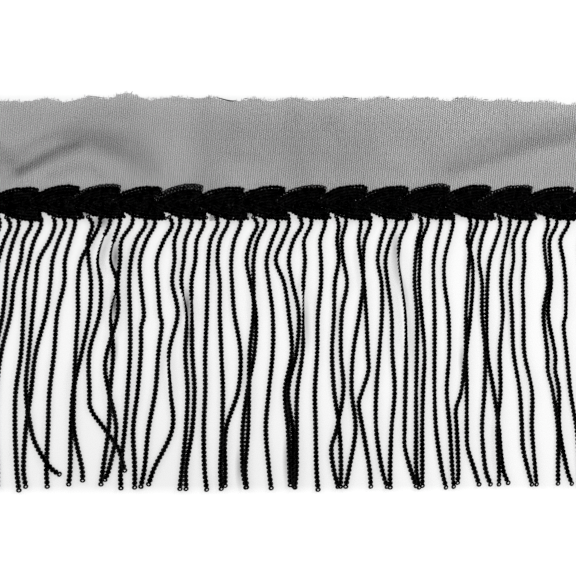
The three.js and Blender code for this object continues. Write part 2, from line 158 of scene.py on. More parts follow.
# Further bends between those depths, as (depth, place), for strands counted from 1 at the left.
EXTRA_BENDS = {
    7: [(150, -170)], 12: [(125, -135), (150, -117.5)], 14: [(100, -125.7)], 16: [(72, -102.3)],
    17: [(70, -88.8)], 32: [(150, 21.8)], 33: [(100, 45.9), (122, 39.6)], 37: [(150, 69.7)],
    42: [(125, 103)], 43: [(150, 110.6)], 47: [(150, 146.6)], 49: [(100, 162.9)],
    50: [(100, 167.7)], 51: [(71, 173.2)],
}

# ---- how the strands lie ----

# Twists: the strand, the depths where it starts to roll over towards its edge, has done so, and
# lies flat again, its roll in degrees when on edge, and how far it then lifts off the surface.
TWISTS = [
    (12, (11.5, 13.4, 38), 80, 1.8),
    (13, (15, 17, 36), 80, 2.4),
    (13, (48, 50.5, 74), 80, 1.5),
    (18, (86, 99, 126), 56, 0.6),
    (19, (46, 52, 76), 76, 1.5),
    (20, (51, 56, 72), 62, 0.8),
    (29, (43, 53, 82), 78, 1.2),
    (37, (21, 27, 91), 80, 1.5),
]
LIFT_REACH = 8  # a strand starts to lift this much before it starts to twist
TWIST_FADE = 0.5  # how suddenly a twist ends: 1 is even, less keeps it on edge for longer
MATT_ROLL = 45  # sequins rolled further than this show only their matt edges and backs
LAID_LAST = [7, 12, 33]  # strands that were laid over the others
FRINGE_PIECES = ["fringe_left", "fringe_middle", "fringe_right"]

ROOT_HEIGHT = 1.75  # a strand's middle where it starts, on the stitched line
ROOT_REACH = 12  # the length over which a strand comes down from there
STACK_HEIGHT = 0.9  # how much one strand rises to cross another
STACK_REACH = 2.9  # strands nearer than this rest on each other
STACK_SLOPE = 0.1  # how steeply a strand rises to a crossing
STRAND_SLOPE = 6  # about the same in degrees
WANDER_ROLL = 11  # degrees by which a strand rolls gently to and fro
WANDER_WAVES = (45, 80)  # the shortest and longest such roll
QUICK_WAVE = 0.37  # a quicker roll lies over it: its length and weight, as shares
QUICK_SHARE = 0.3
ROLL_SHAKE = 6  # degrees by which its sequins lie unevenly, rolled and tilted
TILT_SHAKE = 4
# Degrees by which the strands lie rolled to one side, by place along the trim.
PLACE_ROLL = [[-210, 0], [-100, 8], [0, 16], [100, 30], [210, 33]]

# ---- sequins and thread ----

SEQUIN_RADIUS = 1.79
SEQUIN_SQUEEZE = 0.88  # a sequin's length along its row, as a share of its width
SEQUIN_HOLE = 0.52  # the hole's radius
SEQUIN_CUP = 0.36  # how deep it is
SEQUIN_THICKNESS = 0.1
SEQUIN_SIDES = 10
SEQUIN_PITCH = 2.52
# How much larger and wider spaced the strands' sequins look, by depth.
SEQUIN_GROWTH = [[0, 0.935], [60, 0.984], [120, 1.033], [190, 1.09]]
SCALE_TILT = 24  # degrees by which each sequin lies on the next
LAST_STITCH = 0.7  # the thread ends in the last sequin's hole, this share of a pitch along

LACE_DIP = 0.05  # the laced thread lies this deep in a sequin's hole
LACE_RISE = 0.5  # and rises this high between two sequins
LACE_THICKNESS = 0.34
UNDER_DEPTH = 0.34  # another thread runs this far under the sequins' middles
UNDER_THICKNESS = 0.66
# The widths of those two threads, in the strands and in the rows of the motifs.
STRAND_THREADS = (0.5, 1.98)
OUTLINE_THREADS = (0.6, 1.2)
ROW_THREADS = (0.6, 2.1)
LOOSE_THREADS = (0.14, 0.14)

# The braided line that the strands start from.
BRAID_THREADS = 3
BRAID_SIZE = (0.9, 0.5)  # a thread's width and thickness
BRAID_TURN = 4.2  # the length in which a thread sways to and fro once
BRAID_PLACE = 4.4  # above the heading's lower edge
BRAID_SWAY = 0.8
BRAID_HEIGHT = 1.3  # above the surface
BRAID_LIFT = 0.3  # how far its threads rise and fall over each other
BRAID_STEP = 0.7  # between the points of a thread
BRAID_MARGIN = 5  # it stops this far from each end of the heading

# ---- the rows of sequins in a motif ----

LEAF_TILT = 14  # degrees by which each sequin lies on the next
LEAF_SHAKE = 11  # degrees by which the sequins lie unevenly
OUTLINE_SHAKE = 0.16  # how unevenly the outermost rows lie
LEAF_SEQUIN_SIZE = (0.86, 0.76, 0.76)  # a sequin's length, width and depth, as shares
ROW_PITCH = 2.2  # between the sequins of a row
ROW_SPACING = 1.98  # between the rows
ROW_INSET = 0.85  # of the outermost row's middle from the motif's outline
MOST_ROWS = 7  # in a lobe; those that have no room are left out
# Motifs whose outer upper rows lie so loosely that their holes show, and how many rows.
LOOSE_ROWS = {3: 1, 5: 2, 8: 1, 11: 1, 13: 1}

MIDDLE_OVERLAP = 0.7  # the rows run on this far past the motif's middle line
NEXT_TIP_GAP = 1.5  # and do so up to this far before the next motif's tip
NEXT_GAP = 0.2  # after that they stop this far from its outline
END_GAP = 1.2  # and this far from the end of their own lobe

CREST_HEIGHT = 3.1  # of the sequins at a motif's middle line
UPPER_EDGE_HEIGHT = 1.2
LOWER_EDGE_HEIGHT = 2.75  # over the strands' roots
CREST_WAVE = 0.25  # how much the height varies along a motif
CREST_WAVE_LENGTH = 6  # of one radian of that wave

MIDDLE_START = 1.2  # of the row along the middle, from the motif's tip
MIDDLE_END = LEAF_PITCH + 4  # past the next motif's tip
MIDDLE_PITCH = 0.8 * ROW_PITCH
MIDDLE_SWAY = 0.3
MIDDLE_WAVE = 0.5  # of one radian of its sway
MIDDLE_HEIGHT = 2.3

# ---- the knitted mesh ----

WALE_PITCH = 1.41
WALE_LEAN = 0.1  # how far the upright yarns lean to the right as they rise
COURSE_PITCH = 0.751
PILLAR_STEP = 3  # courses from one bend of an upright yarn to the next
# The widths of the upright yarns and of the fine ones between them, by place.
PILLAR_WIDTHS = [[-206, 0.13], [-80, 0.165], [0, 0.23], [90, 0.265], [206, 0.235]]
LINK_WIDTHS = [[-206, 0.164], [-80, 0.167], [0, 0.16], [90, 0.14], [206, 0.137]]
# How much wider every other crossing of the fine yarns is than the next, by place.
LINK_STAGGERS = [[-206, 0.18], [-54, 0.25], [90, 0.6], [206, 0.4]]
YARN_UNEVEN = 0.15  # how much the yarns' widths vary from loop to loop
KNIT_UNEVEN = 0.06  # how far the loops lie from their even places
# Slow sways of the wales: how far, and the lengths of one radian along and up the trim.
WALE_SWAYS = [(0.25, 19, 31), (0.14, 9, -13)]
KNIT_MARGIN = 9  # the leaning wales start this far beyond both ends and are cut off there
KNIT_START = -3  # the lowest course
KNIT_REACH = 87  # from there to beyond the cut edge
LEAN_MIDDLE = 40  # where the leaning wales are in their even places
WALE_FRAY = (-0.2, 0.8)  # how far the wales reach past the cut edge
LINK_DROP = 0.06  # how far the fine yarns lie below the upright ones
MESH_HEIGHT = 0.4  # above the surface, where it lies flat
CLOTH_WAVE_HEIGHT = 0.12
CLOTH_WAVES = [(11, 17), (23, -9)]  # lengths of one radian, as above
CREST_POINTS = 61  # along the crest of a fold
SEAM_EDGE = 3.4  # the mesh is trimmed off here, behind the motifs
# Where the mesh was left longer and shows between motifs: the middle, half the width, the edge.
SEAM_TABS = [
    (-135.5, 5.5, 0.6), (-55.5, 3, -2.4), (-32, 2, 0), (75, 2.6, 0.4), (102.5, 2.4, 0.8),
    (155, 2.6, 0.2),
]

# Lines along which the mesh looks darker, its yarns drawn wider: partly the cloth gathered there,
# partly shade of the folds painted in as wider yarns; half their width, and by how much.
GATHERS_AND_FOLD_SHADE = [
    ([(-182, 30), (-172, 35), (-163, 40), (-154, 44.5), (-144, 47.5)], 3.3, 0.7),
    ([(-148, 49), (-140, 51), (-132, 50.5), (-125, 49), (-119, 46)], 7.5, 0.3),
    ([(-122, 48), (-117, 44), (-111, 39), (-106, 34)], 5, 0.12),
    ([(-113, 66), (-107, 52), (-97, 30)], 9, 0.1),
    ([(-206, 48), (-196, 42), (-188, 37), (-181, 31)], 4.5, 0.22),
    ([(-162, 27), (-150, 31), (-138, 32.5), (-128, 27)], 3.5, 0.22),
    ([(-206, 66), (-190, 70), (-172, 73)], 4, 0.2),
    ([(-180, 64), (-156, 66), (-136, 66), (-112, 68)], 10, 0.18),
    ([(98, 30), (108, 34), (120, 37), (132, 40), (142, 43)], 4, 0.22),
    ([(138, 43), (152, 48), (166, 51.5), (180, 55.5), (206, 61)], 5, 0.32),
    ([(-62, 75), (-59, 50), (-58, 22)], 10, 0.19),
    ([(-50, 42), (-36, 41), (-26, 39)], 5, 0.23),
    ([(-44, 56), (-14, 52), (14, 46), (40, 44)], 17, 0.19),
    ([(-4, 62), (-2, 46), (2, 30)], 9, 0.22),
    ([(20, 60), (30, 47), (28, 36)], 9, 0.23),
    ([(54, 34), (66, 31)], 5, 0.18),
    ([(66, 55), (82, 47), (88, 35)], 10, 0.11),
]
PILLAR_CLOSING = 0.4  # how much of the crowding goes to the upright yarns
LINK_CLOSING = 0.75  # and to the fine ones between them
EDGE_OPENING = 0.2  # how much more open the mesh is at its cut edge
EDGE_REACH = 12
FOLD_OPENING = 0.05  # how much more open it is for each millimetre a fold lifts it

# Stretches where the cut edge has rolled over: their two ends, and how thick the roll is.
EDGE_ROLLS = [
    [-138, -124, 0.3], [-70.5, -67.5, 0.5], [-54, -39, 0.8], [-35.5, -33, 0.5], [30, 33, 0.5],
    [35, 40, 0.5], [57, 60, 0.4], [102, 105, 0.5], [120.5, 124.5, 0.5], [156, 160, 0.4],
]
ROLL_POINTS = 16
ROLL_PAST_EDGE = 0.1
ROLL_LIFT = 0.3

# Loose hairs along the cut edge.
HAIR_COUNT = 400
HAIR_POINTS = 4
HAIR_LENGTHS = (0.5, 1.9)
HAIR_LEAN = 0.7  # radians, to either side
HAIR_ROOT = 0.4  # inside the edge
HAIR_RISE = 0.15  # how steeply they rise
HAIR_CURL = 0.35  # how far they bend off to one side, and how steeply that rises
HAIR_CURL_RISE = 0.3
HAIR_SIZE = (0.12, 0.08)  # width and thickness

# ---- the surface and the studio ----

NOISE_SPAN = (0.3, 0.7)  # most values of a noise lie between these
FILM_ROUGHNESS = (0.16, 0.34)

# The surface's own colour, and its colour where painted shade lies under the trim.
OPEN_SURFACE = (0.45,) * 3
PAINTED_SHADE_SURFACE = (0.375,) * 3
# Where the painted shade under the trim starts to fade and ends, in metres from its middle.
SHADE_ENDS = {"X": (0.195, 0.225), "Y": (0.121, 0.139)}

# Soft spots painted into the surface's colour: painted shade where less light falls, beside strands
# that stand up and at the lower left, and painted light in one where more does: the middle, half the
# size, the lean in degrees, and how much darker the middle is.
PAINTED_SPOTS = [
    ((-97, -170), (240, 85), 0, 0.07), ((93, -75), (140, 130), 0, -0.035),
    ((-128, -2.5), (9, 6), 0, 0.65), ((-126.5, -21), (4, 15), -15, 0.22),
    ((-119, -26), (4.8, 14), 0, 0.68), ((-119.7, -57), (3.8, 12), 0, 0.85),
    ((-120, -87), (3.2, 12), -6, 0.45), ((-109, -25), (7, 18), 0, 0.1),
    ((-72, -57), (4.4, 12), 8, 0.75), ((-70.5, -75), (3.2, 16), 4, 0.45),
    ((5, -67), (3.4, 24), 4, 0.3), ((64, -25), (4, 20), 3, 0.5),
    ((67.5, -45), (3.5, 18), 12, 0.35), ((73, -74), (4, 36), 4, 0.16),
    ((107.5, -94), (3.4, 12), 0, 0.45), ((-7, -158), (3.6, 20), 0, 0.45),
    ((-38, -163), (3.6, 16), 0, 0.45),
]

VIEW_WIDTH = 375.55  # how much of the trim the camera sees across
VIEW_CENTRE = (-6.6, -46)
CAMERA_DISTANCE = 2200
FLOOR_REACH = 3  # metres, as are the softboxes' numbers
SOFTBOX_DISTANCE = 0.9  # from the trim's middle
SOFTBOX_SIZE = (0.5, 0.25)
BLACK_LEVEL = 0.004

RANDOM = np.random.default_rng(11)
UP = np.array([0.0, 0.0, 1.0])

# The drawing's origin in the frame: the middle of the heading's lower edge.
LOW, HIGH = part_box("mesh_heading")
ORIGIN = np.array([(LOW.x + HIGH.x) / 2, LOW.y, LOW.z])


def in_frame(points):
    """Drawn points in millimetres as points of the frame in metres."""
    return ORIGIN + np.asarray(points, float) * MM


# ---- curves ----


def ease(t):
    """0 below 0, 1 above 1, and a smooth rise between them."""
    t = np.clip(t, 0, 1)
    return t * t * (3 - 2 * t)


def read_curve(table, x):
    """The values at x of a line drawn through [x, value] rows, easing from each to the next."""
    places, values = np.array(table, float).T
    after = np.clip(np.searchsorted(places, x), 1, len(places) - 1)
    share = ease((x - places[after - 1]) / (places[after] - places[after - 1]))
    return values[after - 1] + (values[after] - values[after - 1]) * share


def smooth_line(points, steps):
    """A smooth line through the points, with this many steps from each one to the next."""
    points = np.asarray(points, float)
    ends = np.vstack([2 * points[0] - points[1], points, 2 * points[-1] - points[-2]])
    t = np.linspace(0, 1, steps, endpoint=False)[:, None]
    spans = []
    for a, b, c, d in zip(ends, ends[1:], ends[2:], ends[3:]):
        cubic = 3 * b - a - 3 * c + d
        square = 2 * a - 5 * b + 4 * c - d
        spans.append(b + 0.5 * ((c - a) * t + square * t**2 + cubic * t**3))
    return np.vstack(spans + [points[-1:]])


def lengths_along(line):
    """How far along a line each of its points is."""
    steps = np.linalg.norm(np.diff(line, axis=0), axis=1)
    return np.concatenate([[0], np.cumsum(steps)])


def points_at(line, along, stops):
    """The points of a line at some stops, given how far along it its own points are."""
    return np.column_stack([np.interp(stops, along, column) for column in line.T])


def shared_along(line, pitch):
    """Points along a line from end to end, with the even pitch nearest to the one asked for."""
    along = lengths_along(line)
    return points_at(line, along, np.linspace(0, along[-1], max(round(along[-1] / pitch), 1) + 1))


def unit(vectors):
    """The vectors at length 1."""
    return vectors / np.linalg.norm(vectors, axis=-1, keepdims=True)


def turned_frames(points, roll, tilt):
    """The along, across and up directions at each point, rolled about the line, tilted along it."""
    along = unit(np.gradient(points, axis=0))
    side = unit(np.cross(UP, along))
    up = np.cross(along, side)
    cos_roll, sin_roll = np.cos(roll)[:, None], np.sin(roll)[:, None]
    across = cos_roll * side + sin_roll * up
    up = cos_roll * up - sin_roll * side
    cos_tilt, sin_tilt = np.cos(tilt)[:, None], np.sin(tilt)[:, None]
    return cos_tilt * along + sin_tilt * up, across, cos_tilt * up - sin_tilt * along


# ---- shapes: pairs of points and four-sided faces ----


def join_shapes(shapes):
    """Several shapes as one, and the number of the shape that each face came from."""
    counts = np.cumsum([0] + [len(points) for points, faces in shapes])
    points = np.vstack([points for points, faces in shapes])
    faces = np.vstack([faces + start for (_, faces), start in zip(shapes, counts)])
    source = np.repeat(np.arange(len(shapes)), [len(faces) for _, faces in shapes])
    return points, faces, source


def ring_faces(rings, sides):
    """Faces between each ring of points and the next, with "sides" points in a ring."""
    ring, side = np.meshgrid(np.arange(rings - 1), np.arange(sides), indexing="ij")
    here = ring * sides + side
    beside = ring * sides + (side + 1) % sides
    return np.stack([here, beside, beside + sides, here + sides], -1).reshape(-1, 4)


def thread(points, across, up, width, height):
    """A closed thread with a four-sided section along a line of points."""
    side, lift = across * width / 2, up * height / 2
    rings = np.stack([points + side, points + lift, points - side, points - lift], 1)
    last = 4 * (len(points) - 1)
    caps = np.array([[3, 2, 1, 0], [last, last + 1, last + 2, last + 3]])
    return rings.reshape(-1, 3), np.vstack([ring_faces(len(points), 4), caps])


def sequin_template():
    """One cupped ring: its section, from the hole's edge over the rim and back, turned round."""
    front = np.array([[SEQUIN_HOLE, 0], [SEQUIN_RADIUS, SEQUIN_CUP]])
    section = np.vstack([front, front[::-1] - [0, SEQUIN_THICKNESS]])
    angles = (np.arange(SEQUIN_SIDES)[:, None] + 0.5) * 2 * math.pi / SEQUIN_SIDES
    x = np.cos(angles) * section[:, 0] * SEQUIN_SQUEEZE
    y = np.sin(angles) * section[:, 0]
    z = np.broadcast_to(section[:, 1], x.shape)
    points = np.stack([x, y, z], -1).reshape(-1, 3)
    faces = ring_faces(SEQUIN_SIDES + 1, len(section)) % len(points)
    return points, faces


SEQUIN_POINTS, SEQUIN_FACES = sequin_template()


def sequins(centres, along, across, up, size=(1, 1, 1)):
    """A cupped ring at each centre, in its own directions; size is its length, width and depth."""
    turned = np.einsum("pk,knc->npc", SEQUIN_POINTS * np.array(size), np.stack([along, across, up]))
    points = (turned + centres[:, None, :]).reshape(-1, 3)
    starts = np.arange(len(centres))[:, None, None] * len(SEQUIN_POINTS)
    return points, (SEQUIN_FACES + starts).reshape(-1, 4)


def flat_thread(line, width, height, fade=1):
    """A thread that lies flat along a line; fade is the share of its size at each point."""
    still = np.zeros(len(line))
    _, across, up = turned_frames(line, still, still)
    return thread(line, across * fade, up * fade, width, height)


def chain_threads(centres, across, up, widths):
    """The threads of a row of sequins: one laced through the holes, and one underneath."""
    laced_width, under_width = widths
    between = (centres[1:] + centres[:-1]) / 2
    line = np.empty((2 * len(centres) - 1, 3))
    line[0::2] = centres - LACE_DIP * up
    line[1::2] = between + LACE_RISE * up[1:]
    sides, ups = (np.repeat(ways, 2, axis=0)[:-1] for ways in (across, up))
    laced = thread(line, sides, ups, laced_width, LACE_THICKNESS)
    under = thread(centres - UNDER_DEPTH * up, across, up, under_width, UNDER_THICKNESS)
    return [laced, under]


# ---- pieces ----


def add_object(name, data):
    """An object of the scene that shows a mesh, a camera or a light."""
    thing = bpy.data.objects.new(name, data)
    bpy.context.scene.collection.objects.link(thing)
    return thing


def new_piece(name, shapes, materials, nodes):
    """A piece made of several shapes, each with its own material, that stands for CAD nodes."""
    points, faces, source = join_shapes(shapes)
    places = in_frame(points)
    mesh = bpy.data.meshes.new(name)
    mesh.from_pydata(places, [], faces)
    used = list(dict.fromkeys(materials))
    for material in used:
        mesh.materials.append(material)
    numbers = np.array([used.index(material) for material in materials])[source]
    mesh.polygons.foreach_set("material_index", numbers.astype(np.int32))
    add_plan_map(mesh, places, faces)
    piece = add_object(name, mesh)
    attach(piece, "root")
    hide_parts(*nodes)
    return piece


def add_plan_map(mesh, places, faces):
    """A map of the mesh as seen from above, in a layer named OFBake."""
    plan = places[:, :2] - places[:, :2].min(axis=0)
    corners = plan[faces] / plan.max()
    layer = mesh.uv_layers.new(name="OFBake")
    layer.data.foreach_set("uv", corners.astype(np.float32).ravel())


# ---- materials ----


def new_material(name):
    """A material, and its shader."""
    material = bpy.data.materials.new(name)
    material.use_nodes = True
    return material, material.node_tree.nodes["Principled BSDF"]


def add_node(material, kind, inputs, **settings):
    """A node with these settings, and each of its inputs linked to a socket or set to a value."""
    tree = material.node_tree
    node = tree.nodes.new(kind)
    for name, value in settings.items():
        setattr(node, name, value)
    for name, value in inputs.items():
        if isinstance(value, bpy.types.NodeSocket):
            tree.links.new(value, node.inputs[name])
        else:
            node.inputs[name].default_value = value
    return node


def place_on(material):
    """Where a point is in its piece's own coordinates, in metres."""
    return add_node(material, "ShaderNodeTexCoord", {}).outputs["Object"]


def noise_of(material, scale, detail):
    """Noise over the piece, with features about 1/scale metres across."""
    inputs = {"Vector": place_on(material), "Scale": scale, "Detail": detail}
    return add_node(material, "ShaderNodeTexNoise", inputs).outputs["Fac"]


def map_range(material, value, start, end, low, high):
    """A value that runs from start to end, as one that runs from low to high."""
    inputs = {"Value": value, "From Min": start, "From Max": end, "To Min": low, "To Max": high}
    return add_node(material, "ShaderNodeMapRange", inputs).outputs["Result"]


def colour_between(material, value, dark, light):
    """A colour that runs from dark to light as a value runs through the span of noise."""
    ramp = add_node(material, "ShaderNodeValToRGB", {"Fac": value})
    for stop, place, colour in zip(ramp.color_ramp.elements, NOISE_SPAN, (dark, light)):
        stop.position = place
        stop.color = (*colour, 1)
    return ramp.outputs["Color"]


def noisy_black(name, scale, dark, light, gloss, detail=2):
    """A material in patches from a dark to a lighter black, with its shader and its noise; gloss
    is the specular level."""
    material, shader = new_material(name)
    noise = noise_of(material, scale, detail)
    colour = colour_between(material, noise, (dark,) * 3, (light,) * 3)
    material.node_tree.links.new(colour, shader.inputs["Base Color"])
    shader.inputs["Specular IOR Level"].default_value = gloss
    return material, shader, noise


def sequin_material(name, scale, dark, light, gloss):
    """Black film, in patches a little duller, and in patches greyer: painted sheen, as of sequins
    turned a little towards the light.
    """
    material, shader, patches = noisy_black(name, scale, dark, light, gloss)
    roughness = map_range(material, patches, *NOISE_SPAN, *FILM_ROUGHNESS)
    material.node_tree.links.new(roughness, shader.inputs["Roughness"])
    return material


def thread_material():
    """Matt black polyester thread."""
    looks = {"scale": 3000, "dark": 0.0003, "light": 0.0012, "gloss": 0.04, "detail": 3}
    material, shader, _ = noisy_black("black_thread", **looks)
    shader.inputs["Roughness"].default_value = 0.75
    return material


def mesh_material():
    """Fine black yarn, slightly worn grey in places."""
    looks = {"scale": 120, "dark": 0.006, "light": 0.014, "gloss": 0.1, "detail": 4}
    material, shader, _ = noisy_black("black_mesh_yarn", **looks)
    shader.inputs["Roughness"].default_value = 0.8
    return material


def floor_material():
    """A plain white surface, greyer under the trim with painted shade, and with painted soft spots of
    shade and of light.
    """
    material, shader = new_material("pale_surface")
    plain = colour_between(material, painted_shade_under_trim(material), OPEN_SURFACE, PAINTED_SHADE_SURFACE)
    inputs = {0: plain, "Scale": painted_spot_light(material)}
    scaled = add_node(material, "ShaderNodeVectorMath", inputs, operation="SCALE")
    material.node_tree.links.new(scaled.outputs["Vector"], shader.inputs["Base Color"])
    shader.inputs["Roughness"].default_value = 0.9
    shader.inputs["Specular IOR Level"].default_value = 0
    return material


def painted_shade_under_trim(material):
    """Where the surface's painted shade lies: 1 under the trim, falling softly to 0 just beyond its
    edges.
    """
    place = add_node(material, "ShaderNodeSeparateXYZ", {"Vector": place_on(material)})
    inside = []
    for axis, (start, end) in SHADE_ENDS.items():
        away = add_node(material, "ShaderNodeMath", {0: place.outputs[axis]}, operation="ABSOLUTE")
        inside.append(map_range(material, away.outputs["Value"], start, end, 1, 0))
    both = add_node(material, "ShaderNodeMath", dict(enumerate(inside)), operation="MULTIPLY")
    return both.outputs["Value"]


def painted_spot_light(material):
    """The painted shade and light of the soft spots: 1 where no soft spot is, less at the shaded
    spots and more at the lit one.
    """
    place = place_on(material)
    light = 1
    for middle, (half_x, half_y), lean, share in PAINTED_SPOTS:
        inputs = {
            "Vector": place,
            "Location": in_frame([*middle, 0]),
            "Rotation": (0, 0, math.radians(lean)),
            "Scale": (half_x * MM, half_y * MM, 1),
        }
        spot_place = add_node(material, "ShaderNodeMapping", inputs, vector_type="TEXTURE")
        inputs = {"Vector": spot_place.outputs["Vector"]}
        fall = add_node(material, "ShaderNodeTexGradient", inputs, gradient_type="SPHERICAL")
        inputs = {0: fall.outputs["Fac"], 1: -share, 2: light}
        darker = add_node(material, "ShaderNodeMath", inputs, operation="MULTIPLY_ADD")
        light = darker.outputs["Value"]
    return light


# ---- the strands ----


def strand_line(row, number):
    """A strand's smooth line over the surface, from its root to the middle of its last sequin."""
    root, *places, tip, drop = row
    bends = sorted([*zip(DEPTHS, places), *EXTRA_BENDS.get(number, [])])
    stops = [(ROOT_DEPTH, root), *bends, (drop, tip)]
    return smooth_line([[place, -depth] for depth, place in stops], steps=12)


def growth_at(depth):
    """How much larger and wider spaced a strand's sequins are there than halfway down."""
    return read_curve(SEQUIN_GROWTH, depth)


def strung_along(line):
    """The middles of a strand's sequins along its line, the last one at its end."""
    middle_depth = -(line[1:, 1] + line[:-1, 1]) / 2
    shrunk = np.diff(lengths_along(line)) / growth_at(middle_depth)
    along = np.concatenate([[0], np.cumsum(shrunk)])
    count = int(along[-1] // SEQUIN_PITCH)
    return points_at(line, along, along[-1] - SEQUIN_PITCH * np.arange(count, -1, -1))


def wander(depth):
    """A slow random roll along a strand, in degrees."""
    wave = RANDOM.uniform(*WANDER_WAVES)
    phase, second = RANDOM.uniform(0, 2 * math.pi, 2)
    slow = np.sin(2 * math.pi * depth / wave + phase)
    quick = np.sin(2 * math.pi * depth / (wave * QUICK_WAVE) + second)
    return WANDER_ROLL * ((1 - QUICK_SHARE) * slow + QUICK_SHARE * quick)


def twist_share(depths, depth, early):
    """How far one twist has turned a strand at each depth, if it starts this much early."""
    start, edge, flat = depths
    turning = ease((depth - start + early) / (edge - start + early))
    left = np.clip((flat - depth) / (flat - edge), 0, 1)
    return turning * left**TWIST_FADE


def strand_rolls(number, place, depth):
    """The roll of each sequin of a strand, in degrees, and how far it stands off the surface."""
    roll = wander(depth) + read_curve(PLACE_ROLL, place)
    lift = np.zeros_like(depth)
    for strand, depths, edge_roll, edge_lift in TWISTS:
        if strand == number:
            share = twist_share(depths, depth, 0)
            roll = roll * (1 - share) + edge_roll * share
            lift = np.maximum(lift, edge_lift * twist_share(depths, depth, LIFT_REACH))
    return roll + RANDOM.uniform(-ROLL_SHAKE, ROLL_SHAKE, len(depth)), lift


def rim_drop(roll):
    """How far below its middle a sequin's rim reaches when it is rolled and tilted."""
    tilt = math.radians(SCALE_TILT + TILT_SHAKE + STRAND_SLOPE)
    across = SEQUIN_RADIUS * np.sin(np.radians(np.abs(roll)))
    along = SEQUIN_RADIUS * SEQUIN_SQUEEZE * math.sin(tilt)
    return np.hypot(across, along) + SEQUIN_THICKNESS


def own_height(depth, roll, lift):
    """How high a strand's middle lies when nothing is under it."""
    rest = rim_drop(roll) * growth_at(depth)
    at_root = ease(1 - (depth - ROOT_DEPTH) / ROOT_REACH)
    return np.maximum(rest, ROOT_HEIGHT * at_root + rest * (1 - at_root)) + lift


def rest_on(height, centres, laid):
    """Raises a strand over those already laid, easing up to each crossing."""
    if not laid:
        return height
    below = np.vstack(laid)
    away = np.linalg.norm(centres[:, None, :] - below[None, :, :2], axis=2)
    share = np.sqrt(np.clip(1 - (away / STACK_REACH) ** 2, 0, 1))
    needed = np.where(away < STACK_REACH, below[:, 2] + STACK_HEIGHT * share, 0).max(axis=1)
    along = lengths_along(centres)
    apart = np.abs(along[:, None] - along[None, :])
    eased = (needed[None, :] - STACK_SLOPE * apart).max(axis=1)
    return np.maximum(height, eased)


def lay_strands():
    """The sequin centres and rolls of every strand, laid down one after another."""
    order = [n for n in range(1, len(STRANDS) + 1) if n not in LAID_LAST] + LAID_LAST
    laid, strands = [], {}
    for number in order:
        centres = strung_along(strand_line(STRANDS[number - 1], number))
        depth = -centres[:, 1]
        roll, lift = strand_rolls(number, centres[:, 0], depth)
        height = rest_on(own_height(depth, roll, lift), centres, laid)
        middle = np.column_stack([centres, height])
        laid.append(middle)
        strands[number] = (middle, roll)
    return strands


def strand_shapes(middle, roll):
    """One strand: its glossy sequins, those that show only their edges, and its two threads."""
    tilt = SCALE_TILT + RANDOM.uniform(-TILT_SHAKE, TILT_SHAKE, len(middle))
    along, across, up = turned_frames(middle, np.radians(roll), np.radians(tilt))
    growth = growth_at(-middle[:, 1])[:, None]
    along, across = along * growth, across * growth
    matt = roll > MATT_ROLL
    rings = [sequins(middle[kind], along[kind], across[kind], up[kind]) for kind in (~matt, matt)]
    line = middle.copy()
    line[-1] = middle[-2] + LAST_STITCH * (middle[-1] - middle[-2])
    return rings + chain_threads(line, across, up, STRAND_THREADS)


def fringe_piece(strands, name, numbers, film, edges, yarn):
    """A run of neighbouring strands as one piece."""
    shapes = [shape for number in numbers for shape in strand_shapes(*strands[number])]
    materials = [film, edges, yarn, yarn] * len(numbers)
    return new_piece(name, shapes, materials, ["fringe"])


def make_fringe(*looks):
    """All the strands, shared evenly among the fringe's pieces from left to right."""
    strands = lay_strands()
    share = len(strands) // len(FRINGE_PIECES)
    return [
        fringe_piece(strands, name, range(k * share + 1, (k + 1) * share + 1), *looks)
        for k, name in enumerate(FRINGE_PIECES)
    ]


def stitched_line():
    """The braided line under the motifs that the strands start from."""
    half = HEADING_LENGTH / 2 - BRAID_MARGIN
    x = np.arange(-half, half, BRAID_STEP)
    shapes = []
    for number in range(BRAID_THREADS):
        turn = 2 * math.pi * x / BRAID_TURN + 2 * math.pi * number / BRAID_THREADS
        y = BRAID_PLACE + BRAID_SWAY * np.sin(turn)
        z = BRAID_HEIGHT + BRAID_LIFT * np.cos(2 * turn)
        shapes.append(flat_thread(np.column_stack([x, y, z]), *BRAID_SIZE))
    return shapes


# ---- the leaf motifs ----


def lobe_edge(outline, reach, side):
    """A lobe's outline from the motif's tip, as close points."""
    return smooth_line([[x, side * share * reach] for x, share in outline], steps=24)


def row_line(edge, side, inset):
    """The outline moved inwards by an inset."""
    along = unit(np.gradient(edge, axis=0))
    inwards = np.column_stack([along[:, 1], -along[:, 0]]) * side
    return edge + inwards * inset


def first_run(line, keep):
    """The first unbroken stretch of a line where keep is true."""
    start = np.argmax(keep)
    length = np.argmin(np.append(keep[start:], False))
    return line[start : start + length]


def row_of(edge, outline, side, inset, next_reach):
    """One row of sequin centres in a lobe, between the motif's middle and the next motif's edge."""
    line = row_line(edge, side, inset)
    rise = side * line[:, 1]
    places, shares = np.array(outline, float).T
    nested = next_reach * np.interp(line[:, 0] - LEAF_PITCH, places, shares) + NEXT_GAP
    nested[line[:, 0] < LEAF_PITCH - NEXT_TIP_GAP] = -MIDDLE_OVERLAP
    run = first_run(line, (rise > nested) & (line[:, 0] < places[-1] - END_GAP))
    return shared_along(run, ROW_PITCH) if len(run) > 2 else run[:0]


def motif_height(x, y, reach_up, reach_down):
    """A motif's gently domed height above the surface: low at the top edge, over the roots below."""
    share = np.where(y > 0, y / reach_up, -y / reach_down)
    edge = np.where(y > 0, UPPER_EDGE_HEIGHT, LOWER_EDGE_HEIGHT)
    dome = edge + (CREST_HEIGHT - edge) * (1 - np.clip(share, 0, 1) ** 2)
    return dome + CREST_WAVE * np.cos(x / CREST_WAVE_LENGTH)


def middle_row():
    """A row of sequin centres along a motif's middle, under the others."""
    x = np.arange(MIDDLE_START, MIDDLE_END, MIDDLE_PITCH)
    return np.column_stack([x, MIDDLE_SWAY * np.sin(x / MIDDLE_WAVE), np.full(len(x), MIDDLE_HEIGHT)])


